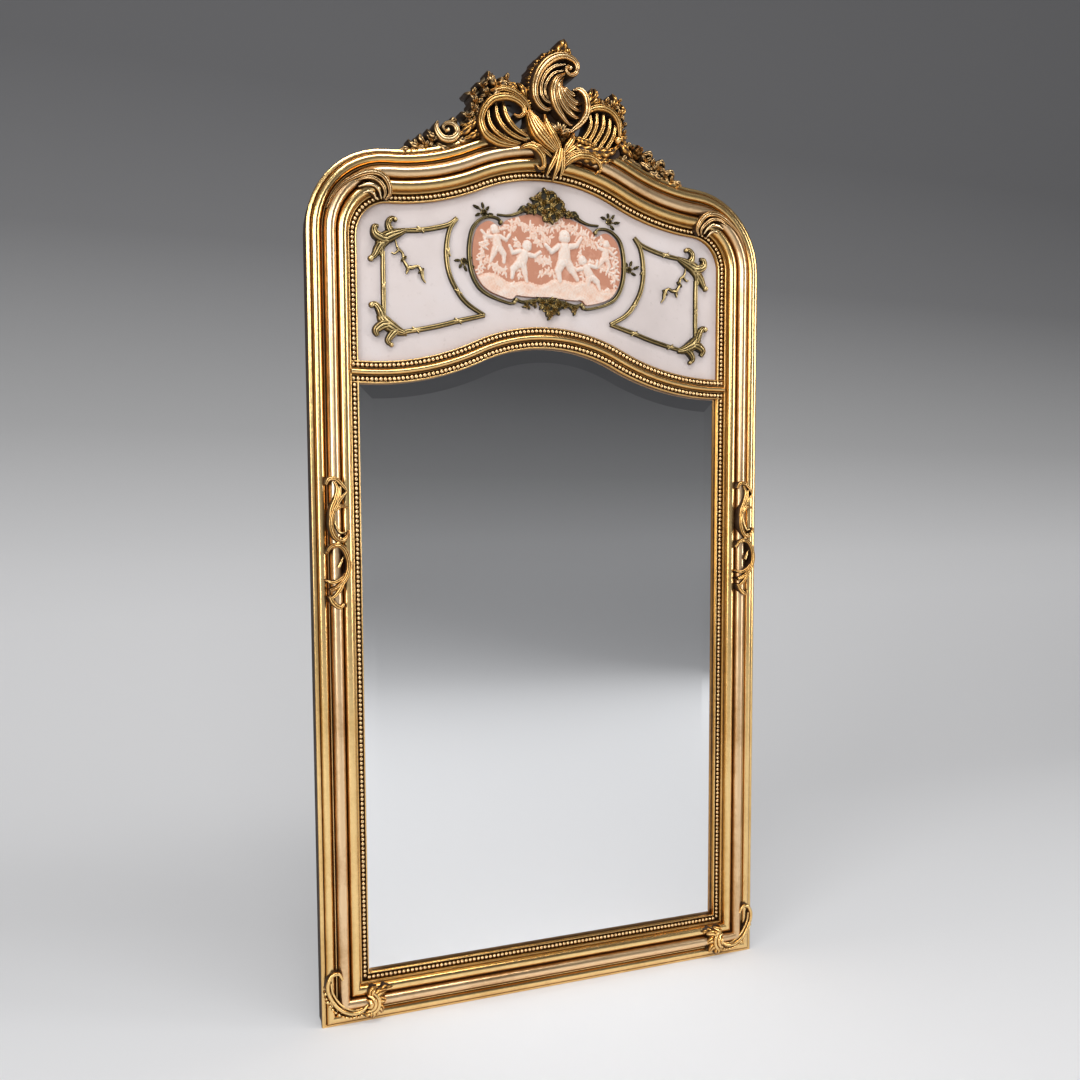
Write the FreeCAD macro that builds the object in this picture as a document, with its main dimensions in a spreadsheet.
"""An arched wall mirror: a moulded gilt frame round a bevelled glass, a painted frieze panel with applied ornament
above it, and a pierced, carved crest on top.

The row frame has its origin at the bottom centre of the wall plane. +X is to the right, +Y into the wall and +Z up.
Depths are written as the rise above the back face of the frame, towards the viewer, and heights as z.
"""
import FreeCAD, Part
import math
import os

from FreeCAD import Vector

doc = FreeCAD.newDocument("ArchedWallMirror")

SIZES = [
    # alias, millimetres, what it is
    ("sight_width", 800, "clear width between the sight edges"),
    ("glass_side_height", 1160, "side height of the glass opening"),
    ("divider_face", 42, "face width of the curved dividing bar"),
    ("divider_rise", 87, "rise of the dividing bar from its ends to its crown"),
    ("divider_crown_radius", 362, "centre line radius of the bar's crown"),
    ("divider_flat", 14, "level run of the bar at each end"),
    ("frieze_side_height", 233, "straight side of the frieze opening"),
    ("arch_rise", 145, "rise of the frieze opening above its straight sides"),
    ("arch_crown_radius", 347, "sight edge radius of the arch's crown"),
    ("arch_hollow_radius", 508, "sight edge radius of the arch's hollows"),
    ("shoulder_radius", 67, "sight edge radius of the arch's shoulders"),
    ("lip_width", 3, "fillet at the sight edge"),
    ("pearl_bed_width", 12, "flat bed that carries the pearls"),
    ("quirk_width", 4, "step beside the pearl bed"),
    ("inner_reed_width", 22, "inner round of the moulding"),
    ("middle_reed_width", 24, "wide middle round of the moulding"),
    ("ridge_width", 6, "thin ridge between the middle and outer rounds"),
    ("outer_reed_width", 17, "outer round of the moulding"),
    ("edge_width", 6, "fillet at the outer edge"),
    ("lip_height", 44, "rise of the sight lip"),
    ("pearl_bed_height", 42, "rise of the pearl bed"),
    ("quirk_height", 48, "rise of the step beside the pearl bed"),
    ("groove_height", 51, "rise of the grooves between the rounds"),
    ("inner_reed_height", 61, "rise of the inner round"),
    ("middle_reed_height", 66, "rise of the middle round"),
    ("ridge_height", 55, "rise of the thin ridge"),
    ("outer_reed_height", 58, "rise of the outer round"),
    ("edge_height", 50, "rise of the outer edge"),
    ("rebate_height", 34, "rise of the seat that the glass and panel lie against"),
    ("rebate_width", 8, "width of the seat behind the sight lip"),
    ("edge_clearance", 1, "gap round the glass and the panel in their rebates"),
    ("wall_gap", 8, "thickness of the pads that hold the frame off the wall"),
    ("pad_side", 22, "side of a square wall pad"),
    ("pearl_height", 4.5, "rise of the pearls above their bed"),
    ("pearl_width", 7, "width of a row of pearls"),
    ("reed_half_width", 5, "half width of the reed along the divider"),
    ("reed_height", 51, "rise of the reed along the divider"),
    ("divider_web_height", 8, "rise of the back of the divider's web"),
    ("glass_thickness", 4, "thickness of the mirror glass"),
    ("bevel_width", 35, "width of the bevel, with the part under the lip"),
    ("bevel_depth", 1.5, "depth that the bevel loses at the edge"),
    ("backboard_thickness", 5, "thickness of the board behind the glass"),
    ("stop_height", 8, "thickness of the strips that hold glass and panel in"),
    ("moulding_strip_width", 9, "width of the half round strips on the panel"),
    ("moulding_strip_height", 6, "rise of the half round strips on the panel"),
    ("plaque_thickness", 3, "thickness of the relief plaque"),
    ("key_back", 14, "rise of the back of the flat keys in the frame's joints"),
    ("key_thickness", 6, "thickness of a key"),
    ("key_width", 36, "width of a key along its joint"),
    ("key_length", 50, "length of a key across its joint"),
    ("crest_back", 22, "rise of the flat back of the crest"),
    ("batten_half_width", 36, "half width of the batten behind the crest"),
    ("batten_top", 72, "height of the batten above the arch"),
    ("plate_thickness", 2, "thickness of a crest plate"),
    ("plate_width", 18, "width of a crest plate"),
    ("plate_length", 90, "length of a crest plate"),
    ("plate_spacing", 40, "distance between the two crest plates"),
    ("hanger_drop", 330, "distance of the hangers below the arch's straight sides"),
    ("strap_thickness", 1.4, "sheet thickness of a hanger strap"),
    ("strap_width", 18, "width of a hanger strap"),
    ("strap_length", 58, "length of a hanger strap below its barrel"),
    ("ring_wire_radius", 2, "radius of the ring's wire"),
    ("ring_half_width", 14, "half width of the ring, to the middle of the wire"),
    ("ring_drop", 26, "reach of the ring below its axis, to the middle of the wire"),
    ("ring_clearance", 0.3, "running gap round the ring's bar"),
    ("screw_radius", 2, "radius of a screw's shank"),
    ("screw_play", 0.2, "gap round a screw in the steel it holds"),
    ("screw_head_radius", 3.8, "radius of a screw's head"),
    ("screw_head_height", 2, "height of a screw's head"),
    ("screw_length", 16, "length of a screw's shank in the wood"),
]

sheet = doc.addObject("Spreadsheet::Sheet", "Sizes")
for row, (alias, value, words) in enumerate(SIZES, start=1):
    sheet.set(f"A{row}", alias)
    sheet.set(f"B{row}", str(value))
    sheet.setAlias(f"B{row}", alias)
    sheet.set(f"C{row}", words)
doc.recompute()


def size(alias):
    """The value of one cell of the sheet."""
    return float(sheet.get(alias))


# ---------------------------------------------------------------------------------------------- derived places
MOULDING_MEMBERS = (
    "lip_width", "pearl_bed_width", "quirk_width", "inner_reed_width", "middle_reed_width", "ridge_width",
    "outer_reed_width", "edge_width",
)
MOULDING_SUM = "+".join(f"Sizes.{member}" for member in MOULDING_MEMBERS)
moulding_width = sum(size(member) for member in MOULDING_MEMBERS)
pearl_outer = size("lip_width") + size("pearl_bed_width")
half_sight = size("sight_width") / 2
sill_z = moulding_width
divider_low_z = sill_z + size("glass_side_height")
divider_end_z = divider_low_z + size("divider_face") / 2
shoulder_z = divider_low_z + size("divider_face") + size("frieze_side_height")
arch_top_z = shoulder_z + size("arch_rise") + moulding_width
glass_front = size("rebate_height")
glass_back = glass_front - size("glass_thickness")
board_back = glass_back - size("backboard_thickness")
stop_back = board_back - size("stop_height")
plate_edge = size("rebate_width") - size("edge_clearance")


def at(x, rise, z):
    """A point from its rise above the back face of the frame."""
    return Vector(x, -(size("wall_gap") + rise), z)


# ---------------------------------------------------------------------------------------------- outlines
def arc_chain(crown_radius, hollow_radius, hollow_centre, crown_z, end_angle):
    """Centres, radii and angles of a hollow, crown and hollow from right to left: sense is +1 where the centre is
    below the line and -1 where it is above it."""
    crown_centre = (0.0, crown_z - crown_radius)
    lean = math.atan2(hollow_centre[1] - crown_centre[1], hollow_centre[0])
    right = (hollow_centre[0], hollow_centre[1], hollow_radius, -1, end_angle, lean + math.pi)
    crown = (0.0, crown_centre[1], crown_radius, 1, lean, math.pi - lean)
    left = (-hollow_centre[0], hollow_centre[1], hollow_radius, -1, 2 * math.pi - lean, 3 * math.pi - end_angle)
    return right, crown, left


def divider_arcs():
    """The centre line of the dividing bar."""
    crown_radius, rise = size("divider_crown_radius"), size("divider_rise")
    reach = half_sight - size("divider_flat")
    hollow_radius = (reach**2 + rise**2) / (2 * rise) - crown_radius
    centre = (reach, divider_end_z + hollow_radius)
    return arc_chain(crown_radius, hollow_radius, centre, divider_end_z + rise, 1.5 * math.pi)


def arch_arcs():
    """The sight edge of the arch, with its round shoulders first and last."""
    crown_radius, hollow_radius = size("arch_crown_radius"), size("arch_hollow_radius")
    shoulder_radius = size("shoulder_radius")
    apex_z = shoulder_z + size("arch_rise")
    shoulder = (half_sight - shoulder_radius, shoulder_z)
    across, up = shoulder[0], shoulder[1] - (apex_z - crown_radius)
    span = math.hypot(across, up)
    far, near = crown_radius + hollow_radius, hollow_radius + shoulder_radius
    along = (far**2 - near**2 + span**2) / (2 * span)
    aside = math.sqrt(far**2 - along**2)
    hollow = (
        (along * across - aside * up) / span,
        apex_z - crown_radius + (along * up + aside * across) / span,
    )
    meets = math.atan2(hollow[1] - shoulder[1], hollow[0] - shoulder[0])
    right, crown, left = arc_chain(crown_radius, hollow_radius, hollow, apex_z, meets + math.pi)
    return (
        (shoulder[0], shoulder_z, shoulder_radius, 1, 0.0, meets),
        right,
        crown,
        left,
        (-shoulder[0], shoulder_z, shoulder_radius, 1, math.pi - meets, math.pi),
    )


def on_arc(arc, out, angle):
    """The (x, z) of a point that lies out beyond an arc, at an angle about its centre."""
    centre_x, centre_z, radius, sense = arc[:4]
    reach = radius + sense * out
    return centre_x + reach * math.cos(angle), centre_z + reach * math.sin(angle)


def sketch_arc(arc, out):
    """An arc of a sketch, out beyond an arc of a chain."""
    centre_x, centre_z, radius, sense, start, end = arc
    circle = Part.Circle(Vector(centre_x, centre_z, 0), Vector(0, 0, 1), radius + sense * out)
    return Part.ArcOfCircle(circle, min(start, end), max(start, end))


def sketch_lines(points):
    """Lines of a sketch through (x, y) points."""
    spots = [Vector(x, y, 0) for x, y in points]
    return [Part.LineSegment(first, second) for first, second in zip(spots, spots[1:])]


def closed(points):
    """The points with the first one again at the end."""
    return list(points) + [points[0]]


def ends_of(arcs, out):
    """The first and last points of a chain of arcs."""
    return on_arc(arcs[0], out, arcs[0][4]), on_arc(arcs[-1], out, arcs[-1][5])


def glass_outline(inset=0.0):
    """The outline of the glass: three straight sides under the dividing bar's curve."""
    side = half_sight + plate_edge - inset
    out = plate_edge - inset - size("divider_face") / 2
    arcs = divider_arcs()
    first, last = ends_of(arcs, out)
    straight = [last, (-side, last[1]), (-side, sill_z - plate_edge + inset), (side, sill_z - plate_edge + inset),
                (side, first[1]), first]
    return sketch_lines(straight) + [sketch_arc(arc, out) for arc in arcs]


def frieze_outline():
    """The outline of the frieze panel, between the dividing bar and the arch."""
    below, above = divider_arcs(), arch_arcs()
    out = size("divider_face") / 2 - plate_edge
    first, last = ends_of(below, out)
    right, left = ends_of(above, plate_edge)
    edges = sketch_lines([first, (right[0], first[1]), right]) + sketch_lines([left, (left[0], last[1]), last])
    return edges + [sketch_arc(arc, out) for arc in below] + [sketch_arc(arc, plate_edge) for arc in above]


# ---------------------------------------------------------------------------------------------- sections
REED_SIDES = 5


def reed(outer, inner, low, top):
    """The points of a round between two grooves, drawn with a few flat sides."""
    middle, half = (outer + inner) / 2, (outer - inner) / 2
    peak = math.sin(math.pi * (REED_SIDES // 2) / REED_SIDES)
    points = []
    for step in range(REED_SIDES + 1):
        angle = math.pi * step / REED_SIDES
        points.append((middle + half * math.cos(angle), low + (top - low) * math.sin(angle) / peak))
    return points


def moulding_section():
    """The section of the frame's moulding, as (out, rise) pairs from the sight edge and the back face."""
    inner = pearl_outer + size("quirk_width")
    middle = inner + size("inner_reed_width")
    ridge = middle + size("middle_reed_width")
    outer = ridge + size("ridge_width")
    edge = outer + size("outer_reed_width")
    groove = size("groove_height")
    rebate = size("rebate_width")
    section = [(rebate, 0), (moulding_width, 0), (moulding_width, size("edge_height"))]
    section += reed(edge, outer, size("edge_height"), size("outer_reed_height"))
    section += [((outer + ridge) / 2, size("ridge_height"))]
    section += reed(ridge, middle, groove, size("middle_reed_height"))
    section += reed(middle - 0.5, inner, groove, size("inner_reed_height"))
    section += [
        (pearl_outer, size("quirk_height")),
        (pearl_outer, size("pearl_bed_height")),
        (size("lip_width"), size("pearl_bed_height")),
        (size("lip_width"), size("lip_height")),
        (0, size("lip_height")),
        (0, size("rebate_height")),
        (rebate, size("rebate_height")),
    ]
    return section


def divider_section():
    """The front of the dividing bar, about its centre line."""
    half = size("divider_face") / 2
    bed, lip = size("pearl_bed_height"), size("lip_width")
    flank = size("reed_half_width") + 3
    section = [
        (-half, size("rebate_height")),
        (half, size("rebate_height")),
        (half, size("lip_height")),
        (half - lip, size("lip_height")),
        (half - lip, bed),
        (flank, bed),
        (flank - 0.5, bed + 4),
    ]
    section += reed(size("reed_half_width"), -size("reed_half_width"), bed + 3, size("reed_height"))
    section += [
        (-flank + 0.5, bed + 4),
        (-flank, bed),
        (-half + lip, bed),
        (-half + lip, size("lip_height")),
        (-half, size("lip_height")),
    ]
    return section


def pearl_section(centre):
    """The section of a row of pearls, about its own centre."""
    half, bed, top = size("pearl_width") / 2, size("pearl_bed_height"), size("pearl_height")
    return [(centre - half, bed), (centre + half, bed), (centre + 0.5 * half, bed + top),
            (centre - 0.5 * half, bed + top)]


def section_face(section, place):
    """A face through a section's points, each put in space by place(out, rise)."""
    corners = [place(*entry) for entry in section]
    return Part.Face(Part.makePolygon(corners + corners[:1]))


def bent(section, arc):
    """A section carried round one arc."""
    centre_x, centre_z, _, _, start, end = arc

    def place(out, rise):
        x, z = on_arc(arc, out, start)
        return at(x, rise, z)

    turn = math.degrees(end - start)
    return section_face(section, place).revolve(Vector(centre_x, 0, centre_z), Vector(0, -1, 0), turn)


def straight(section, first, last, outward):
    """A section carried from one (x, z) point to another, with out measured along outward."""

    def place(out, rise):
        return at(first[0] + outward[0] * out, rise, first[1] + outward[1] * out)

    return section_face(section, place).extrude(Vector(last[0] - first[0], 0, last[1] - first[1]))


def joined(shapes):
    """One shape of several that touch or overlap."""
    whole = shapes[0].multiFuse(shapes[1:]) if len(shapes) > 1 else shapes[0]
    return whole.removeSplitter()


def largest(shape):
    """The largest solid of a shape."""
    return max(shape.Solids, key=lambda solid: solid.Volume)


CRUMB = 180


def without_crumbs(shape):
    """A shape's solids, without the crumbs that a cut leaves: those under CRUMB cubic millimetres."""
    solids = [solid for solid in shape.Solids if solid.Volume > CRUMB]
    return solids[0] if len(solids) == 1 else Part.makeCompound(solids)


# ---------------------------------------------------------------------------------------------- document objects
made = []


def keep(thing, label):
    """Names a finished sub-part."""
    thing.Label = label
    made.append(thing)
    return thing


def feature(label, shape):
    """A sub-part whose shape is worked out here."""
    thing = doc.addObject("Part::Feature", label)
    thing.Shape = shape
    return keep(thing, label)


def add_sketch(body, name, role, geometry, lift=None):
    """A sketch on one of the body's own origin planes, lifted by an expression."""
    sketch = body.newObject("Sketcher::SketchObject", name)
    plane = next(item for item in body.Origin.OriginFeatures if item.Role == role)
    sketch.AttachmentSupport = [(plane, "")]
    sketch.MapMode = "FlatFace"
    if lift:
        sketch.setExpression(".AttachmentOffset.Base.z", lift)
    sketch.addGeometry(geometry, False)
    return sketch


def plate(label, geometry, back, thickness):
    """A flat board parallel to the wall: back and thickness are expressions."""
    body = doc.addObject("PartDesign::Body", label)
    outline = add_sketch(body, label + "_outline", "XZ_Plane", geometry, f"Sizes.wall_gap + {back}")
    pad = body.newObject("PartDesign::Pad", label + "_pad")
    pad.Profile = outline
    pad.setExpression("Length", thickness)
    doc.recompute()
    return keep(body, label)


def pocket(body, name, geometry, lift=None, depth=None):
    """Cuts a sketch on the XZ plane through the body, or to a depth away from the viewer."""
    outline = add_sketch(body, name + "_outline", "XZ_Plane", geometry, lift)
    before = body.Shape.Volume
    cut = body.newObject("PartDesign::Pocket", name)
    cut.Profile = outline
    if depth:
        cut.setExpression("Length", depth)
    else:
        cut.Type = "ThroughAll"
        cut.SideType = "Symmetric"
    doc.recompute()
    if body.Shape.Volume >= before - 1:
        raise RuntimeError(f"{name} cut nothing from {body.Label}")
    return cut


# ---------------------------------------------------------------------------------------------- the frame
KEY_FRONT = "Sizes.wall_gap + Sizes.key_back + Sizes.key_thickness"


def key_outlines(side):
    """The flat keys of one side of the frame: across the mitre at the foot, and across the joint with the arch."""
    half_width, half_length = size("key_width") / 2, size("key_length") / 2
    middle = half_sight + moulding_width / 2
    slope = math.sqrt(0.5)
    foot, top = [], []
    for across, beside in ((-1, -1), (1, -1), (1, 1), (-1, 1)):
        x = middle + slope * (across * half_length + beside * half_width)
        z = moulding_width / 2 + slope * (beside * half_width - across * half_length)
        foot.append((side * x, sill_z - moulding_width + z))
        top.append((side * (middle + beside * half_width), shoulder_z + across * half_length))
    return foot, top


def key_solid(outline):
    """One flat key."""
    corners = [at(x, size("key_back"), z) for x, z in outline]
    return Part.Face(Part.makePolygon(corners + corners[:1])).extrude(Vector(0, -size("key_thickness"), 0))


def make_stile(label, side):
    """A straight side of the frame, mitred at its foot and notched where the dividing bar ends in it."""
    body = doc.addObject("PartDesign::Body", label)
    section = [(side * (half_sight + out), -(size("wall_gap") + rise)) for out, rise in moulding_section()]
    outline = add_sketch(body, label + "_section", "XY_Plane", sketch_lines(closed(section)))
    pad = body.newObject("PartDesign::Pad", label + "_pad")
    pad.Profile = outline
    pad.setExpression(
        "Length", f"{MOULDING_SUM} + Sizes.glass_side_height + Sizes.divider_face + Sizes.frieze_side_height"
    )
    doc.recompute()
    edge, spare = half_sight + moulding_width, 1
    mitre = [(side * (edge + spare), -spare), (side * (half_sight - spare), sill_z + spare),
             (side * (half_sight - spare), -spare)]
    pocket(body, label + "_mitre", sketch_lines(closed(mitre)))
    low, high = divider_low_z, divider_low_z + size("divider_face")
    inner, outer = side * (half_sight - spare), side * (half_sight + pearl_outer)
    notch = [(inner, low), (outer, low), (outer, high), (inner, high)]
    pocket(body, label + "_notch", sketch_lines(closed(notch)), "Sizes.wall_gap + Sizes.middle_reed_height",
           "Sizes.middle_reed_height - Sizes.rebate_height")
    for name, outline in zip(("_foot_slot", "_top_slot"), key_outlines(side)):
        pocket(body, label + name, sketch_lines(closed(outline)), KEY_FRONT, "Sizes.key_thickness")
    return keep(body, label)


def make_bottom_rail():
    """The straight foot of the frame, mitred at both ends."""
    body = doc.addObject("PartDesign::Body", "bottom_rail")
    section = [(-(size("wall_gap") + rise), sill_z - out) for out, rise in moulding_section()]
    outline = add_sketch(body, "bottom_rail_section", "YZ_Plane", sketch_lines(closed(section)))
    pad = body.newObject("PartDesign::Pad", "bottom_rail_pad")
    pad.Profile = outline
    pad.SideType = "Symmetric"
    pad.setExpression("Length", f"Sizes.sight_width + 2 * ({MOULDING_SUM})")
    doc.recompute()
    for side in (-1, 1):
        edge, spare = half_sight + moulding_width, 1
        mitre = [(side * (edge + spare), -spare), (side * (edge + spare), sill_z + spare),
                 (side * (half_sight - spare), sill_z + spare)]
        name = "bottom_rail_mitre_" + ("left" if side < 0 else "right")
        pocket(body, name, sketch_lines(closed(mitre)))
        foot_key = key_outlines(side)[0]
        pocket(body, name + "_slot", sketch_lines(closed(foot_key)), KEY_FRONT, "Sizes.key_thickness")
    return keep(body, "bottom_rail")


def make_divider():
    """The curved bar between glass and frieze: its front laps over the stiles, its web ends in their rebates."""
    arcs = divider_arcs()
    first, last = ends_of(arcs, 0)
    web_half = size("divider_face") / 2 - size("rebate_width")
    web = [(-web_half, size("divider_web_height")), (web_half, size("divider_web_height")),
           (web_half, size("rebate_height")), (-web_half, size("rebate_height"))]
    pieces = []
    for section, reach in ((divider_section(), half_sight + pearl_outer), (web, half_sight + size("rebate_width"))):
        pieces.append(straight(section, (reach, first[1]), first, (0, 1)))
        pieces += [bent(section, arc) for arc in arcs]
        pieces.append(straight(section, last, (-reach, last[1]), (0, 1)))
    return feature("divider_bar", largest(joined(pieces)))


left_stile = make_stile("left_stile", -1)
right_stile = make_stile("right_stile", 1)
bottom_rail = make_bottom_rail()
arch_shape = joined([bent(moulding_section(), arc) for arc in arch_arcs()])
keys = [key_solid(outline) for side in (-1, 1) for outline in key_outlines(side)]
arched_rail = feature("arched_top_rail", largest(arch_shape.cut(keys)))
feature("frame_keys", Part.makeCompound(keys))
divider_bar = make_divider()


# ---------------------------------------------------------------------------------------------- pearls
def make_pearl_rows():
    """Rows of pearls beside every sight edge, one strip for each straight or curved side."""
    bed_centre = size("lip_width") + size("pearl_bed_width") / 2
    section = pearl_section(bed_centre)
    half = size("pearl_width") / 2
    sill_end = half_sight + bed_centre - half - 0.3
    divider_top_z = divider_low_z + size("divider_face")
    for name, side in (("left", -1), ("right", 1)):
        x = side * half_sight
        low = sill_z - bed_centre - half
        feature("glass_pearls_" + name, straight(section, (x, low), (x, divider_low_z), (side, 0)))
        feature("panel_pearls_" + name, straight(section, (x, divider_top_z), (x, shoulder_z), (side, 0)))
    feature("glass_pearls_bottom", straight(section, (-sill_end, sill_z), (sill_end, sill_z), (0, -1)))
    feature("panel_pearls_top", joined([bent(section, arc) for arc in arch_arcs()]))
    arcs = divider_arcs()
    inner_edge = size("reed_half_width") + 3
    outer_edge = size("divider_face") / 2 - size("lip_width")
    for name, sense in (("lower", -1), ("upper", 1)):
        row_section = pearl_section(sense * (inner_edge + outer_edge) / 2)
        first, last = ends_of(arcs, 0)
        reach = half_sight + pearl_outer
        pieces = [straight(row_section, (reach, first[1]), first, (0, 1))]
        pieces += [bent(row_section, arc) for arc in arcs]
        pieces.append(straight(row_section, last, (-reach, last[1]), (0, 1)))
        feature("divider_pearls_" + name, joined(pieces))


make_pearl_rows()


# ---------------------------------------------------------------------------------------------- glass and panel
def make_mirror_glass():
    """The mirror glass: a plate whose front is cut to a wide shallow bevel along every edge."""
    blank = plate("glass_blank", glass_outline(), "Sizes.rebate_height - Sizes.glass_thickness",
                  "Sizes.glass_thickness")
    made.remove(blank)
    front, spare = size("rebate_height"), 2
    low, reach = front - size("bevel_depth"), size("bevel_width")
    wedge = [(plate_edge, low), (plate_edge - reach, front), (plate_edge - reach, front + spare),
             (plate_edge + spare, front + spare), (plate_edge + spare, low)]
    half = size("divider_face") / 2
    curved = [(out - half, rise) for out, rise in wedge]
    top_z = divider_low_z + size("divider_rise")
    first, last = ends_of(divider_arcs(), 0)
    pieces = [bent(curved, arc) for arc in divider_arcs()]
    edge = half_sight + plate_edge + spare
    pieces += [straight(curved, (edge, first[1]), first, (0, 1)), straight(curved, last, (-edge, last[1]), (0, 1)),
               straight(wedge, (-half_sight, 0), (-half_sight, top_z), (-1, 0)),
               straight(wedge, (half_sight, 0), (half_sight, top_z), (1, 0)),
               straight(wedge, (-edge, sill_z), (edge, sill_z), (0, -1))]
    cutter = doc.addObject("Part::Feature", "bevel_cutter")
    cutter.Shape = Part.makeCompound(pieces)
    glass = doc.addObject("Part::Cut", "mirror_glass")
    glass.Base = blank
    glass.Tool = cutter
    doc.recompute()
    return keep(glass, "mirror_glass")


def make_stop_strips(label, arcs, out, straight_runs):
    """Thin strips in the rebate, behind the board, that hold it in."""
    half_strip = [(0, stop_back), (plate_edge, stop_back), (plate_edge, board_back), (0, board_back)]
    shifted = [(out + entry[0], entry[1]) for entry in half_strip]
    pieces = [joined([bent(shifted, arc) for arc in arcs])]
    pieces += [straight(half_strip, *run) for run in straight_runs]
    feature(label, Part.makeCompound(pieces))


make_mirror_glass()
plate("glass_backboard", glass_outline(), "Sizes.rebate_height - Sizes.glass_thickness - Sizes.backboard_thickness",
      "Sizes.backboard_thickness")
plate("frieze_panel", frieze_outline(), "Sizes.rebate_height - Sizes.glass_thickness - Sizes.backboard_thickness",
      "Sizes.glass_thickness + Sizes.backboard_thickness")
make_stop_strips(
    "glass_stop_strips", divider_arcs(), -size("divider_face") / 2,
    [((-half_sight, sill_z), (-half_sight, divider_low_z - 1), (-1, 0)),
     ((half_sight, sill_z), (half_sight, divider_low_z - 1), (1, 0)),
     ((-half_sight + 1, sill_z), (half_sight - 1, sill_z), (0, -1))],
)
make_stop_strips(
    "panel_stop_strips", arch_arcs(), 0,
    [((-half_sight, divider_low_z + size("divider_face") + 1), (-half_sight, shoulder_z - 1), (-1, 0)),
     ((half_sight, divider_low_z + size("divider_face") + 1), (half_sight, shoulder_z - 1), (1, 0))],
)


# ---------------------------------------------------------------------------------------------- carving
def smooth(points, count):
    """Points evenly spread along a Catmull-Rom curve through a few set points."""
    ends = [tuple(2 * a - b for a, b in zip(points[0], points[1]))]
    tail = [tuple(2 * a - b for a, b in zip(points[-1], points[-2]))]
    knots = ends + list(points) + tail
    spans = len(points) - 1
    result = []
    for step in range(count + 1):
        place = min(step * spans / count, spans - 1e-9)
        span, t = int(place), place - int(place)
        a, b, c, d = knots[span:span + 4]
        result.append(tuple(
            0.5 * (2 * q + (r - p) * t + (2 * p - 5 * q + 4 * r - s) * t**2 + (3 * q - p - 3 * r + s) * t**3)
            for p, q, r, s in zip(a, b, c, d)
        ))
    return result


def along(values, share):
    """A value read from a short list that is spread evenly over 0 to 1."""
    place = min(share * (len(values) - 1), len(values) - 1 - 1e-9)
    step = int(place)
    return values[step] + (values[step + 1] - values[step]) * (place - step)


def faceted(rings):
    """A closed solid through rings of equally many points: flat faces between them, and a flat face at each end."""
    faces = [Part.Face(Part.makePolygon(ring + ring[:1])) for ring in (rings[0], rings[-1])]
    for near, far in zip(rings, rings[1:]):
        for step in range(len(near)):
            after = (step + 1) % len(near)
            a, b, c, d = near[step], near[after], far[after], far[step]
            if abs((b - a).cross(d - a).dot(c - a)) < 1e-6:
                faces.append(Part.Face(Part.makePolygon([a, b, c, d, a])))
            else:
                faces.append(Part.Face(Part.makePolygon([a, b, c, a])))
                faces.append(Part.Face(Part.makePolygon([a, c, d, a])))
    solid = Part.Solid(Part.Shell(faces))
    if solid.Volume < 0:
        solid.reverse()
    return solid


def bend_radius(before, here, after):
    """The radius of the bend that a line makes at a point."""
    first = math.atan2(here[1] - before[1], here[0] - before[0])
    second = math.atan2(after[1] - here[1], after[0] - here[0])
    turn = abs(math.remainder(second - first, 2 * math.pi))
    if before == here or here == after or turn < 0.01:
        return math.inf
    return min(math.dist(before, here), math.dist(here, after)) / (2 * math.sin(turn / 2))


def carve(points, widths, back, fronts, count=None, tall=False):
    """A ridge of carving along a curve: it stands on the plane at rise back, its crest follows fronts, and its width
    follows widths, each spread evenly over its length. A tall ridge has upright sides below its round."""
    count = round(count or 2 * (len(points) - 1))
    line = smooth(points, count)
    sections = []
    for step, (x, z) in enumerate(line):
        before, after = line[max(step - 1, 0)], line[min(step + 1, len(line) - 1)]
        run = math.hypot(after[0] - before[0], after[1] - before[1])
        across = (-(after[1] - before[1]) / run, (after[0] - before[0]) / run)
        share = step / (len(line) - 1)
        half, front = min(along(widths, share) / 2, 0.8 * bend_radius(before, (x, z), after)), along(fronts, share)
        profile = [(-1, back), (-0.55, front), (0.55, front), (1, back)]
        if tall:
            shoulder = front - 0.7 * half
            profile = [(-1, back), (-1, shoulder), (-0.3, front), (0.3, front), (1, shoulder), (1, back)]
        corners = [
            at(x + across[0] * half * side, rise, z + across[1] * half * side) for side, rise in profile
        ]
        sections.append(corners)
    return faceted(sections)


def prism(radius, start, direction, sides=6, around=False):
    """A round bar along the X or Y axis, drawn with few sides: around puts the flats, not the corners, on the
    radius."""
    reach = radius / math.cos(math.pi / sides) if around else radius
    across = Vector(0, 1, 0) if direction.x else Vector(1, 0, 0)
    corners = []
    for side in range(sides):
        angle = 2 * math.pi * (side + 0.5) / sides
        corners.append(start + across * (reach * math.cos(angle)) + Vector(0, 0, 1) * (reach * math.sin(angle)))
    return Part.Face(Part.makePolygon(corners + corners[:1])).extrude(direction)


def knob(x, z, radius, back, front, sides=6, turn=0.0):
    """A small flower or berry: a cone frustum with few sides."""
    rings = []
    for reach, rise in ((radius, back), (0.5 * radius, front)):
        angles = [turn + 2 * math.pi * side / sides for side in range(sides)]
        ring = [at(x + reach * math.cos(a), rise, z + reach * math.sin(a)) for a in angles]
        rings.append(ring)
    return faceted(rings)


def slab(points, back, front):
    """A flat board with a polygon outline."""
    corners = [at(x, back, z) for x, z in points]
    return Part.Face(Part.makePolygon(corners + corners[:1])).extrude(Vector(0, back - front, 0))


def spiral(centre, start_radius, end_radius, start_angle, end_angle, count=8):
    """Points of a volute, angles in degrees."""
    points = []
    for step in range(count + 1):
        share = step / count
        radius = start_radius + (end_radius - start_radius) * share
        angle = math.radians(start_angle + (end_angle - start_angle) * share)
        points.append((centre[0] + radius * math.cos(angle), centre[1] + radius * math.sin(angle)))
    return points


def moved(points, across, up, mirror=False, stretch=1.0):
    """Drawing points moved to their datum, and first mirrored left to right or widened if asked."""
    sense = -stretch if mirror else stretch
    return [(across + sense * x, up + z) for x, z in points]


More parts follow.
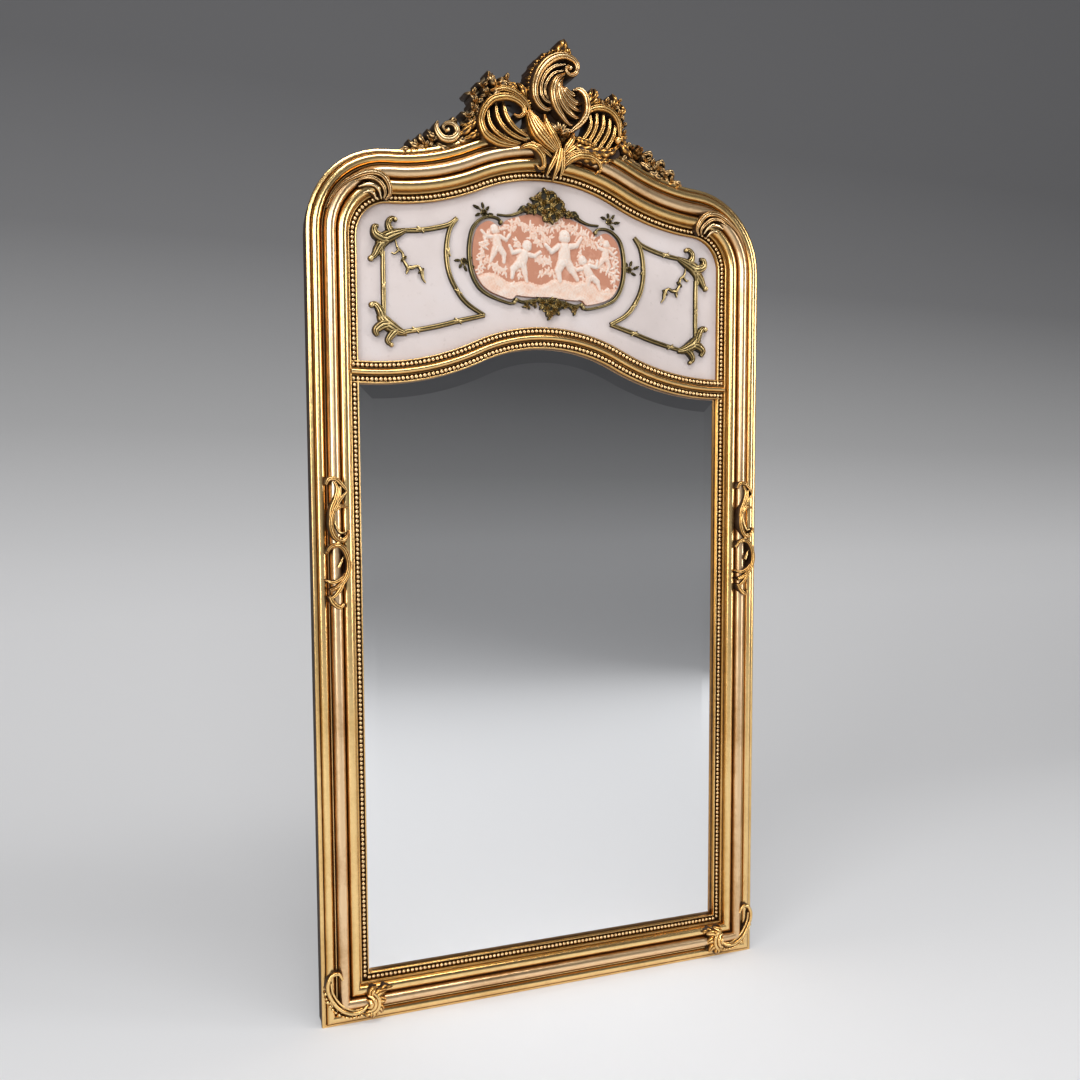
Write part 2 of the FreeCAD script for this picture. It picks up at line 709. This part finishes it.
def carving(label, strokes, datum, seats=(), mirror=False, stretch=1.0):
    """A carved piece from its strokes: each is a function and its arguments, drawn about the datum. It is cut to fit
    whatever it is seated on."""
    shapes = []
    for maker, points, *rest in strokes:
        placed = moved(points, datum[0], datum[1], mirror, stretch)
        if maker is knob:
            shapes += [knob(x, z, *rest) for x, z in placed]
        else:
            shapes.append(maker(placed, *rest))
    whole = joined(shapes)
    for seat in seats:
        whole = whole.cut(seat.Shape)
    return feature(label, without_crumbs(whole))


# ---------------------------------------------------------------------------------------------- frieze ornament
panel_face = size("rebate_height")
strip_front = panel_face + size("moulding_strip_height")
strip_width = size("moulding_strip_width")
frieze_datum = (0.0, shoulder_z)
DRAWN_HALF_SIGHT = 400
frieze_stretch = half_sight / DRAWN_HALF_SIGHT


def strip(points, widths=None, count=None):
    """One half round strip of the frieze ornament."""
    return carve, points, widths or [strip_width, strip_width], panel_face, [strip_front, strip_front], count


SIDE_MOULDING = [
    strip([(197, 53), (213, 40), (243, 30), (275, 23), (315, 18)], [4, 9, 9, 9, 9]),
    strip([(197, 53), (212, 30), (219, -12), (214, -52), (198, -85), (176, -110), (141, -130)]),
    strip([(141, -130), (197, -145), (230, -155), (270, -165), (312, -174)]),
    strip([(347, -24), (347, -85), (347, -145)], None, 2),
]
TOP_LEAF = [
    (carve, [(312, 19), (330, 10), (347, -2), (360, -18), (367, -41)], [9, 14, 16, 12, 3], panel_face, [42, 45, 41]),
    (carve, [(328, 8), (336, 22), (332, 38)], [10, 8, 2], panel_face, [44, 41], 3),
    (carve, [(338, 4), (352, 11), (361, 9)], [10, 8, 4], panel_face, [44, 42], 3),
    (carve, [(332, -2), (344, -16), (349, -30)], [10, 10, 7], panel_face, [43, 41], 3),
]
BOTTOM_LEAF = [
    (carve, [(310, -174), (330, -169), (346, -158), (360, -138), (367, -114)], [9, 14, 16, 11, 3], panel_face,
     [42, 45, 41]),
    (carve, [(334, -166), (350, -171), (363, -164)], [11, 8, 4], panel_face, [44, 41], 3),
    (carve, [(328, -170), (339, -180), (344, -191)], [10, 8, 2], panel_face, [44, 41], 3),
    (carve, [(338, -160), (346, -150), (347, -140)], [10, 9, 7], panel_face, [43, 41], 3),
]
GARLAND = [
    (carve, [(318, -2), (310, -33), (300, -58), (281, -48), (262, -74)], [5, 9, 6, 10, 2], panel_face, [39, 41, 38], 9),
    (knob, [(305, -46), (286, -52)], 6, panel_face, 42, 5),
]
for name, is_left in (("left", True), ("right", False)):
    leaf_top = carving("panel_leaf_top_" + name, TOP_LEAF, frieze_datum, (), is_left, frieze_stretch)
    leaf_bottom = carving("panel_leaf_bottom_" + name, BOTTOM_LEAF, frieze_datum, (), is_left, frieze_stretch)
    carving(name + "_garland", GARLAND, frieze_datum, [leaf_top], is_left, frieze_stretch)
    sides = [moved(stroke[1], *frieze_datum, is_left, frieze_stretch) for stroke in SIDE_MOULDING]
    strips = [carve(points, *stroke[2:]) for points, stroke in zip(sides, SIDE_MOULDING)]
    cut = [joined(strips[:3]).cut(leaf_top.Shape).cut(leaf_bottom.Shape),
           strips[3].cut(leaf_top.Shape).cut(leaf_bottom.Shape)]
    feature(name + "_panel_moulding", Part.makeCompound([largest(shape) for shape in cut]))

CARTOUCHE_SIDE = [(104, 53), (111, 61), (130, 63), (149, 55), (164, 38), (171, 10), (172, -22), (166, -52),
                  (153, -75), (135, -88), (111, -97), (84, -103), (76, -99)]
CARTOUCHE_TOP = [(112, 69), (90, 69), (70, 75), (56, 83), (38, 80)]
CARTOUCHE_FOOT = [(-72, -94), (-58, -98), (-30, -93), (0, -91), (30, -93), (58, -98), (72, -94)]


def make_cartouche():
    """The plaque, the strips that frame it, and the bunches of flowers at its top and foot."""
    strokes = []
    for sense in (-1, 1):
        strokes.append(strip([(sense * x, z) for x, z in CARTOUCHE_SIDE], [5, 6, 8, 9, 8, 6, 5], 14))
        strokes.append(strip([(sense * x, z) for x, z in CARTOUCHE_TOP], [4, 5, 7, 8], 6))
    strokes.append(strip(CARTOUCHE_FOOT, [5, 7, 8, 7, 5], 8))
    placed = [moved(stroke[1], *frieze_datum, False, frieze_stretch) for stroke in strokes]
    shapes = [carve(points, *stroke[2:]) for points, stroke in zip(placed, strokes)]
    frame_shape = Part.makeCompound(shapes)
    feature("cartouche_frame", frame_shape)
    outline = [(0, -85), (50, -88), (72, -87), (84, -95), (109, -90), (131, -82), (147, -70), (159, -50), (165, -22),
               (164, 9), (157, 34), (145, 48), (128, 55), (106, 46), (92, 60), (52, 74), (0, 84)]
    outline += [(-x, z) for x, z in outline[-2:0:-1]]
    board = slab(moved(outline, *frieze_datum, False, frieze_stretch), panel_face, panel_face + size("plaque_thickness"))
    crown_strokes = [
        (slab, [(-34, 108), (-20, 124), (8, 124), (26, 106), (36, 86), (12, 76), (0, 63), (-14, 76), (-38, 84)],
         panel_face, panel_face + 7),
        (knob, [(-3, 122), (-26, 106), (19, 106), (-32, 88), (30, 88), (-6, 96), (14, 84), (-14, 80), (0, 66)],
         8, panel_face, panel_face + 13, 5),
    ]
    crown = carving("cartouche_crown", crown_strokes, frieze_datum, [board_feature(frame_shape)])
    spray_strokes = [
        (slab, [(-24, -88), (28, -88), (34, -100), (14, -122), (-2, -122), (-18, -108)], panel_face, panel_face + 6),
        (knob, [(-14, -96), (4, -94), (24, -98), (-4, -110), (12, -114)], 8, panel_face, panel_face + 12, 5),
        (carve, [(-20, -98), (-38, -104), (-56, -106)], [8, 10, 3], panel_face, [40, 41, 38], 3),
        (carve, [(26, -98), (44, -102), (62, -108)], [8, 10, 3], panel_face, [40, 41, 38], 3),
        (knob, [(58, -104)], 8, panel_face, panel_face + 9, 5),
    ]
    spray = carving("cartouche_base_spray", spray_strokes, frieze_datum, [board_feature(frame_shape)])
    plaque_shape = board.cut(crown.Shape).cut(spray.Shape)
    feature("relief_plaque", largest(plaque_shape))


class Seat:
    """A shape that a carving is cut against."""

    def __init__(self, shape):
        self.Shape = shape


def board_feature(shape):
    """A seat made of a bare shape."""
    return Seat(shape)


make_cartouche()

SPRIG_PLACES = [(-140, 70), (137, 80), (-183, -28), (184, -14)]


def make_sprigs():
    """Four small flower sprigs beside the cartouche, each a flower with three leaves."""
    sprigs = []
    for x, z in moved(SPRIG_PLACES, *frieze_datum, False, frieze_stretch):
        lean = math.copysign(1, x)
        shapes = [knob(x, z, 7, panel_face, panel_face + 7, 5)]
        for reach_x, reach_z in ((17, 8), (12, 17), (-10, 12)):
            tip = (x + lean * reach_x, z + reach_z)
            shapes.append(carve([(x, z), tip], [7, 2], panel_face, [39, 37], 1))
        sprigs.append(joined(shapes))
    return sprigs


frame_strips = doc.getObject("cartouche_frame").Shape
sprig_shapes = [largest(shape.cut(frame_strips)) for shape in make_sprigs()]
feature("cartouche_sprigs", Part.makeCompound(sprig_shapes))


# ---------------------------------------------------------------------------------------------- frame ornament
SEAT_FLAT = 0.2
SEAT_LIFT = 0.45


def arch_seat(arc):
    """One arc of the arch with flat faces that stand just clear of the round ones: carvings are cut by it."""
    radius, sense, start, end = arc[2:]
    reach = max(radius, radius + sense * moulding_width)
    count = math.ceil(abs(end - start) / (2 * math.acos(1 - SEAT_FLAT / reach)))
    widen = 1 / math.cos((end - start) / count / 2) if sense > 0 else 1
    inner = 2 * pearl_outer
    section = [entry for entry in moulding_section() if entry[1] >= size("groove_height") or entry[0] > inner]
    section = [(moulding_width, 0)] + [(out, rise + SEAT_LIFT) for out, rise in section[1:]] + [(inner, 0)]
    rings = []
    for step in range(count + 1):
        angle = start + (end - start) * step / count
        spots = [(on_arc(arc, out, angle), rise) for out, rise in section]
        rings.append([at(arc[0] + (x - arc[0]) * widen, rise, arc[1] + (z - arc[1]) * widen)
                      for (x, z), rise in spots])
    return Seat(faceted(rings))


arch_seats = [arch_seat(arc) for arc in arch_arcs()]
ornament_back = size("ridge_height")
STILE_ORNAMENT = [
    (carve, [(-8, 106), (-14, 119), (-2, 124), (8, 116), (2, 100), (-8, 70), (-13, 40)], [5, 8, 9, 9, 8, 8, 9],
     ornament_back, [70, 76, 74], 8),
    (carve, [(20, 97), (8, 84), (-4, 62), (-12, 36)], [4, 8, 9, 8], ornament_back, [70, 75, 74], 3),
    (carve, [(23, 67), (6, 71), (-8, 58), (-12, 34), (-3, 12), (12, 6), (20, 16), (14, 24)],
     [4, 11, 9, 9, 10, 9, 8, 6], ornament_back, [70, 77, 76, 71], 9),
    (carve, [(8, 12), (6, 2), (2, -10)], [8, 7, 8], ornament_back, [73, 73], 1),
    (carve, [(-20, -18), (-10, -6), (4, -5), (16, -18), (21, -42), (16, -66), (0, -84), (-14, -96), (-8, -104)],
     [5, 9, 9, 9, 9, 10, 9, 9, 5], ornament_back, [70, 76, 77, 74], 9),
    (carve, [(4, -50), (8, -40), (20, -34)], [4, 7, 6], ornament_back, [71, 74], 2),
    (carve, [(-18, -70), (-4, -76), (12, -68)], [4, 9, 7], ornament_back, [71, 74], 2),
    (carve, [(-14, -96), (-4, -116), (10, -124), (14, -114)], [7, 10, 9, 5], ornament_back, [72, 74, 70], 4),
]
CORNER_SHELL = [
    (carve, [(34, 98), (24, 111), (10, 107), (4, 89), (10, 66), (28, 40), (51, 27), (74, 28), (92, 42)],
     [5, 9, 9, 8, 8, 9, 9, 9, 8], ornament_back, [68, 70, 69, 69, 70], 10),
    (carve, [(86, 40), (104, 56), (124, 66)], [9, 14, 3], ornament_back, [72, 76, 68], 3),
    (carve, [(88, 42), (106, 42), (117, 36)], [10, 14, 5], ornament_back, [72, 78, 70], 3),
    (carve, [(86, 46), (98, 62), (98, 74)], [9, 12, 5], ornament_back, [72, 76, 68], 3),
    (carve, [(84, 34), (98, 24), (106, 13)], [8, 12, 5], ornament_back, [70, 74, 62], 3),
    (knob, [(14, 36), (30, 21), (50, 13), (70, 14)], 7, size("edge_height"), 62, 5),
]
SHOULDER_LEAF = [
    (carve, [(64, 94), (46, 104), (22, 102), (2, 96), (-10, 98)], [6, 16, 18, 12, 3], ornament_back, [68, 76, 74, 66], 6),
    (carve, [(34, 104), (18, 88), (8, 72)], [14, 16, 3], ornament_back, [74, 72, 58], 3),
    (carve, [(46, 106), (40, 120), (28, 124)], [12, 12, 4], ornament_back, [74, 70, 62], 3),
    (carve, [(24, 104), (12, 116), (0, 118)], [12, 11, 4], ornament_back, [74, 72, 62], 3),
    (carve, [(50, 98), (62, 82), (66, 72)], [10, 9, 3], ornament_back, [72, 70, 62], 3),
]
ornament_out = moulding_width / 2 + 8
ornament_z = sill_z + 855 / 1160 * size("glass_side_height")
for name, side, stile in (("left", -1, left_stile), ("right", 1, right_stile)):
    centre = side * (half_sight + ornament_out)
    carving(name + "_stile_ornament", STILE_ORNAMENT, (centre, ornament_z), [stile])
    corner = (side * (half_sight + moulding_width), 0.0)
    carving(name + "_corner_shell", CORNER_SHELL, corner, [stile, bottom_rail], side > 0)
    shoulder = (side * (half_sight - size("shoulder_radius")), shoulder_z)
    seats = arch_seats[:2] if side > 0 else arch_seats[3:]
    carving(name + "_shoulder_leaf", SHOULDER_LEAF, shoulder, seats, side < 0)


# ---------------------------------------------------------------------------------------------- crest
crest_datum = (0.0, arch_top_z)
crest_back = size("crest_back")
VOLUTE = spiral((31, 117), 6, 21, -250, 80, 9)
MAIN_RIM = VOLUTE + [(12, 139), (-14, 128), (-34, 107), (-45, 82), (-46, 59), (-37, 41), (-22, 32), (-10, 36)]
CREST_SHELL = [
    (slab, [(14, 136), (-14, 126), (-33, 106), (-44, 82), (-45, 59), (-37, 42), (-50, 30), (-62, 8), (-60, -20),
            (-30, -34), (-4, -44), (0, -66), (22, -66), (26, -44), (44, -24), (52, 6), (70, 32), (72, 60), (56, 82),
            (30, 86), (14, 98), (14, 116)], crest_back, 58),
    (carve, MAIN_RIM, [5, 8, 12, 16, 18, 13, 11, 11, 10, 5], crest_back, [82, 84, 84, 82, 76], 20),
    (carve, [(22, 126), (-4, 122), (-24, 106), (-34, 84), (-34, 62), (-24, 48), (-12, 46)], [4, 7, 7, 7, 5], 40,
     [76, 78, 74], 7),
    (carve, [(20, 114), (-2, 112), (-17, 97), (-23, 78), (-21, 62), (-13, 54)], [4, 6, 6, 4], 40, [72, 74, 70], 6),
    (carve, [(16, 108), (2, 96), (-7, 78), (-8, 58), (2, 34), (22, 10)], [5, 9, 10, 9, 5], 40, [74, 86, 84, 74], 6),
    (carve, [(12, 100), (6, 82), (10, 62), (24, 42), (44, 31)], [4, 8, 9, 6], 40, [74, 84, 80, 70], 5),
    (carve, [(12, 94), (16, 78), (28, 62), (44, 52), (60, 48)], [4, 7, 8, 4], 40, [72, 80, 76, 68], 5),
    (carve, [(14, 90), (26, 80), (42, 74), (56, 76)], [4, 7, 8, 4], 40, [70, 76, 72], 4),
    (carve, [(48, 86), (62, 76), (69, 56), (66, 34), (54, 18), (40, 6)], [5, 9, 10, 8, 5], 40, [70, 76, 74, 68], 6),
    (carve, [(18, 146), (24, 160), (25, 178)], [24, 18, 2], 40, [68, 66, 60], 3),
    (carve, [(-56, 30), (-40, 18), (-28, -4), (-14, -24), (2, -44)], [4, 9, 9, 5], 40, [68, 78, 80, 76], 4),
    (carve, [(-44, 26), (-28, 14), (-16, -8), (-4, -28), (6, -48)], [4, 9, 9, 5], 40, [70, 80, 82, 76], 4),
    (carve, [(-60, 8), (-50, -10), (-34, -22), (-14, -34)], [4, 9, 9, 5], 40, [66, 74, 76], 3),
    (carve, [(40, 0), (34, -18), (22, -32), (14, -50)], [5, 10, 9, 5], 40, [70, 76, 80], 3),
    (carve, [(48, -14), (38, -30), (20, -44)], [5, 9, 5], 40, [68, 72, 76], 2),
    (knob, [(4, -10)], 14, 40, 76, 8),
    (knob, [(-19, 135), (-35, 120), (-47, 99), (0, 144), (34, 140)], 8, crest_back, 62, 5),
]
CREST_FOOT = [
    (slab, [(-44, -38), (-30, -56), (-22, -74), (-6, -70), (16, -70), (26, -78), (34, -62), (56, -50), (50, -36),
            (20, -40), (-16, -34)], ornament_back, 70),
    (carve, [(8, -50), (8, -66), (2, -80), (-2, -92)], [22, 16, 22, 4], ornament_back, [84, 80, 76, 66], 4),
    (carve, [(-70, -44), (-52, -40), (-36, -48), (-24, -64), (-28, -76), (-38, -74), (-38, -66)],
     [4, 9, 10, 9, 8, 6, 5], ornament_back, [70, 76, 78, 74], 8),
    (carve, [(-4, -64), (-20, -50), (-38, -40)], [4, 8, 5], ornament_back, [72, 74, 68], 2),
    (carve, [(14, -76), (24, -68), (38, -56), (58, -47), (80, -46), (98, -54), (102, -66), (92, -70)],
     [6, 8, 9, 9, 9, 8, 5], ornament_back, [74, 78, 76, 72], 8),
    (carve, [(22, -52), (44, -40), (70, -38)], [5, 8, 4], ornament_back, [72, 74, 66], 2),
]
CREST_LEFT = [
    (slab, [(-74, 60), (-110, 56), (-150, 28), (-160, -14), (-150, -34), (-128, -30), (-140, -12), (-142, 8),
            (-130, 28), (-110, 40), (-84, 36)], crest_back, 46),
    (slab, [(-156, -14), (-120, -36), (-90, -38), (-56, -30), (-44, -4), (-64, -10), (-90, -14), (-120, -12),
            (-142, 2)], crest_back, 62),
    (carve, [(-76, 24), (-68, 34), (-80, 46), (-108, 48), (-133, 40), (-151, 20), (-158, -4), (-156, -24),
             (-138, -36), (-112, -42), (-92, -42)], [4, 9, 10, 9, 9, 9, 12, 10, 5], crest_back, [70, 72, 70, 70, 68], 12),
    (carve, [(-114, 36), (-108, 12), (-96, -6), (-80, -17), (-58, -20)], [4, 7, 7, 5], crest_back, [62, 66, 66], 4),
    (carve, [(-130, 24), (-124, 0), (-109, -19), (-88, -27), (-62, -28)], [4, 7, 7, 5], crest_back, [60, 66, 66], 4),
    (carve, [(-144, 12), (-141, -10), (-127, -27), (-104, -34)], [4, 7, 7, 5], crest_back, [60, 66, 66], 3),
    (carve, [(-48, 36), (-64, 56), (-84, 68), (-108, 78)], [7, 8, 8, 5], crest_back, [58, 60, 60], 3),
    (carve, [(-62, 56), (-66, 72), (-72, 86)], [9, 8, 3], crest_back, [58, 56], 3),
    (knob, [(-121, 68)], 15, crest_back, 68, 7),
    (knob, [(-106, 82), (-146, 62), (-140, 50), (-158, 32), (-166, 40), (-166, 18), (-175, 3)], 9, crest_back, 60, 5),
    (carve, [(-162, 14), (-170, -8), (-186, -28), (-212, -40)], [8, 10, 8, 4], crest_back, [58, 60, 54], 4),
]
CREST_RIGHT = [
    (slab, [(34, -2), (60, -8), (90, -14), (120, -18), (146, -12), (152, -32), (124, -46), (90, -50), (34, -40)],
     crest_back, 62),
    (slab, [(72, 40), (92, 60), (118, 62), (146, 44), (154, 6), (142, 8), (134, 28), (114, 42), (92, 38), (78, 26)],
     crest_back, 46),
    (carve, [(70, 34), (80, 48), (94, 57), (116, 58), (136, 48), (148, 30), (151, 6)], [5, 8, 9, 9, 8, 6], crest_back,
     [64, 68, 66, 60], 7),
    (carve, [(86, 44), (82, 22), (75, 5), (64, -16)], [6, 8, 7, 6], crest_back, [60, 64, 64], 3),
    (carve, [(101, 46), (96, 18), (87, 0), (76, -20)], [6, 8, 7, 6], crest_back, [60, 64, 64], 3),
    (carve, [(119, 44), (111, 16), (101, -2), (90, -22)], [6, 8, 7, 6], crest_back, [60, 64, 64], 3),
    (carve, [(136, 32), (126, 8), (117, -7), (108, -24)], [6, 8, 7, 6], crest_back, [60, 64, 64], 3),
    (carve, [(36, -24), (60, -34), (92, -40), (124, -36), (148, -22)], [10, 16, 14, 8], crest_back, [70, 76, 74, 68],
     5),
    (knob, [(141, -3)], 11, crest_back, 66, 7),
    (knob, [(103, 68), (121, 68), (140, 59), (150, 42), (156, 20), (86, 62)], 9, crest_back, 58, 5),
    (carve, [(72, 60), (80, 76), (89, 95)], [8, 10, 3], crest_back, [56, 54], 3),
    (carve, [(134, 60), (142, 76), (140, 92)], [8, 8, 3], crest_back, [56, 52], 3),
    (carve, [(152, 4), (164, -14), (182, -26)], [8, 10, 7], crest_back, [56, 58, 54], 4),
]
LEFT_TRAIL = [
    (carve, [(-198, -40), (-222, -50), (-254, -64), (-284, -74), (-311, -81)], [20, 18, 14, 12, 5], 18,
     [46, 46, 42, 38], 6),
    (carve, [(-236, -14), (-238, -30), (-224, -42), (-206, -36), (-201, -22)], [5, 8, 9, 8, 6], 18, [54, 58, 54], 7),
    (knob, [(-221, -27)], 11, 18, 56, 7),
    (knob, [(-252, -48), (-268, -62), (-285, -70), (-300, -76)], 9, 18, 52, 5),
]
RIGHT_TRAIL = [
    (carve, [(176, -30), (206, -44), (238, -56), (270, -70), (298, -79)], [16, 20, 16, 12, 5], 18, [46, 46, 42, 38], 6),
    (knob, [(198, -18)], 15, 18, 58, 7),
    (knob, [(216, -28), (232, -36), (248, -44), (264, -56), (282, -68)], 10, 18, 52, 5),
]


def make_batten():
    """The board behind the crest: its foot follows the arch, and it carries the crest's plates."""
    arc = arch_arcs()[2]
    reach, half = arc[2] + moulding_width, size("batten_half_width")
    foot_z = arc[1] + math.sqrt(reach**2 - half**2)
    lean = math.acos(half / reach)
    circle = Part.Circle(Vector(0, arc[1], 0), Vector(0, 0, 1), reach)
    top_z = arch_top_z + size("batten_top")
    outline = [Part.ArcOfCircle(circle, lean, math.pi - lean)]
    outline += sketch_lines([(-half, foot_z), (-half, top_z), (half, top_z), (half, foot_z)])
    return plate("crest_batten", outline, "0", "Sizes.crest_back")


def make_crest():
    """The carved crest: the foot laps over the arch, and the other pieces are cut to fit it and one another."""
    near_right, crown, near_left = arch_seats[1:4]
    foot = carving("crest_foot", CREST_FOOT, crest_datum, [crown])
    shell = carving("crest_shell", CREST_SHELL, crest_datum, [crown, foot])
    left = carving("crest_left_scroll", CREST_LEFT, crest_datum, [crown, near_left, foot, shell])
    right = carving("crest_right_scroll", CREST_RIGHT, crest_datum, [crown, near_right, foot, shell])
    carving("left_rose_trail", LEFT_TRAIL, crest_datum, [crown, near_left, left])
    carving("right_rose_trail", RIGHT_TRAIL, crest_datum, [crown, near_right, right])


make_batten()
make_crest()


# ---------------------------------------------------------------------------------------------- fixings
def screw(x, z, under_head):
    """A pan head screw from behind: its shank goes into the wood from the face of the frame's back."""
    head = prism(size("screw_head_radius"), at(x, -under_head, z), Vector(0, size("screw_head_height"), 0))
    shank = prism(size("screw_radius"), at(x, size("screw_length"), z),
                  Vector(0, size("screw_length") + under_head, 0))
    return head.fuse(shank)


def screw_hole(x, z, thickness):
    """The hole that a screw goes through in a steel part on the frame's back."""
    spare = 1
    return prism(size("screw_radius") + size("screw_play"), at(x, spare, z), Vector(0, thickness + 2 * spare, 0),
                 around=True)


def make_crest_plates():
    """Two steel plates across the joint of the batten and the arch, with two screws each."""
    half_width, half_length = size("plate_width") / 2, size("plate_length") / 2
    thickness, shapes, screws = size("plate_thickness"), [], []
    for side in (-1, 1):
        x = side * size("plate_spacing") / 2
        corner = at(x - half_width, 0, arch_top_z - half_length)
        shape = Part.makeBox(2 * half_width, thickness, 2 * half_length, corner)
        for z in (arch_top_z - 0.7 * half_length, arch_top_z + 0.7 * half_length):
            shape = shape.cut(screw_hole(x, z, thickness))
            screws.append(screw(x, z, thickness))
        shapes.append(shape)
    feature("crest_plates", Part.makeCompound(shapes))
    feature("crest_screws", Part.makeCompound(screws))


hanger_z = shoulder_z - size("hanger_drop")
hanger_out = (size("rebate_width") + moulding_width) / 2
ring_centre_rise = -(size("ring_wire_radius") + size("ring_clearance") + size("strap_thickness"))


def make_hangers():
    """Folded steel straps on the backs of the stiles, each with a ring that swings in its barrel."""
    inner = size("ring_wire_radius") + size("ring_clearance")
    outer = inner + size("strap_thickness")
    straps, screws = [], []
    for side in (-1, 1):
        x = side * (half_sight + hanger_out)
        left = x - size("strap_width") / 2
        across = Vector(size("strap_width"), 0, 0)
        barrel = prism(outer, at(left, ring_centre_rise, hanger_z), across, 10, True)
        bore = prism(inner, at(left, ring_centre_rise, hanger_z), across, 10, True)
        leaf = Part.makeBox(size("strap_width"), size("strap_thickness"), size("strap_length"),
                            at(left, 0, hanger_z - size("strap_length")))
        strap = barrel.fuse(leaf).cut(bore)
        for share in (0.68, 0.9):
            z = hanger_z - share * size("strap_length")
            strap = strap.cut(screw_hole(x, z, size("strap_thickness")))
            screws.append(screw(x, z, size("strap_thickness")))
        straps.append(strap.removeSplitter())
    feature("hanger_straps", Part.makeCompound(straps))
    feature("hanger_screws", Part.makeCompound(screws))


def make_ring(label, side):
    """A ring of round wire: a straight bar in the barrel and a loop below it."""
    centre_x = side * (half_sight + hanger_out)
    half, drop = size("ring_half_width"), size("ring_drop")
    corner = 0.25 * half
    path = [(0, 0), (half - corner, 0), (half - 0.25 * corner, -0.25 * corner), (half, -corner)]
    path += [(half * math.cos(a), half - drop + half * math.sin(a)) for a in
             (-math.radians(turn) for turn in (0, 30, 60, 90))]
    halves = []
    for sense in (-1, 1):
        line = [(sense * x, z) for x, z in path]
        sections = []
        for step, (x, z) in enumerate(line):
            before, after = line[max(step - 1, 0)], line[min(step + 1, len(line) - 1)]
            run = (after[0] - before[0], after[1] - before[1])
            if step == len(line) - 1:
                run = (-1 * sense, 0)
            length = math.hypot(*run)
            across = (-run[1] / length, run[0] / length)
            radius = size("ring_wire_radius")
            corners = []
            for turn in range(6):
                angle = math.pi * (turn + 0.5) / 3
                reach = radius * math.cos(angle)
                corners.append(at(centre_x + x + across[0] * reach, ring_centre_rise + radius * math.sin(angle),
                                  hanger_z + z + across[1] * reach))
            sections.append(corners)
        halves.append(faceted(sections))
    return feature(label, joined(halves))


def make_wall_pads():
    """Four pads that hold the frame off the wall."""
    pads = []
    side_length = size("pad_side")
    for side in (-1, 1):
        for z in (0.5 * moulding_width, shoulder_z - 2 * moulding_width):
            corner = at(side * (half_sight + hanger_out) - side_length / 2, 0, z - side_length / 2)
            pads.append(Part.makeBox(side_length, size("wall_gap"), side_length, corner))
    feature("wall_pads", Part.makeCompound(pads))


make_crest_plates()
make_hangers()
make_ring("left_hanger_ring", -1)
make_ring("right_hanger_ring", 1)
make_wall_pads()


# ---------------------------------------------------------------------------------------------- checks and files
def check_and_write():
    """Every object must be sound before any file is written."""
    doc.recompute()
    for item in doc.Objects:
        if "Invalid" in item.State or "Error" in item.State:
            raise RuntimeError(f"{item.Label} is {item.State}")
    labels = [thing.Label for thing in made]
    if len(set(labels)) != len(labels):
        raise RuntimeError("two sub-parts have one name")
    for thing in made:
        if thing.Shape.isNull() or not thing.Shape.isValid():
            raise RuntimeError(f"{thing.Label} has no sound shape")
    os.makedirs("parts", exist_ok=True)
    for thing in made:
        thing.Shape.exportStep(f"parts/{thing.Label}.step")


check_and_write()
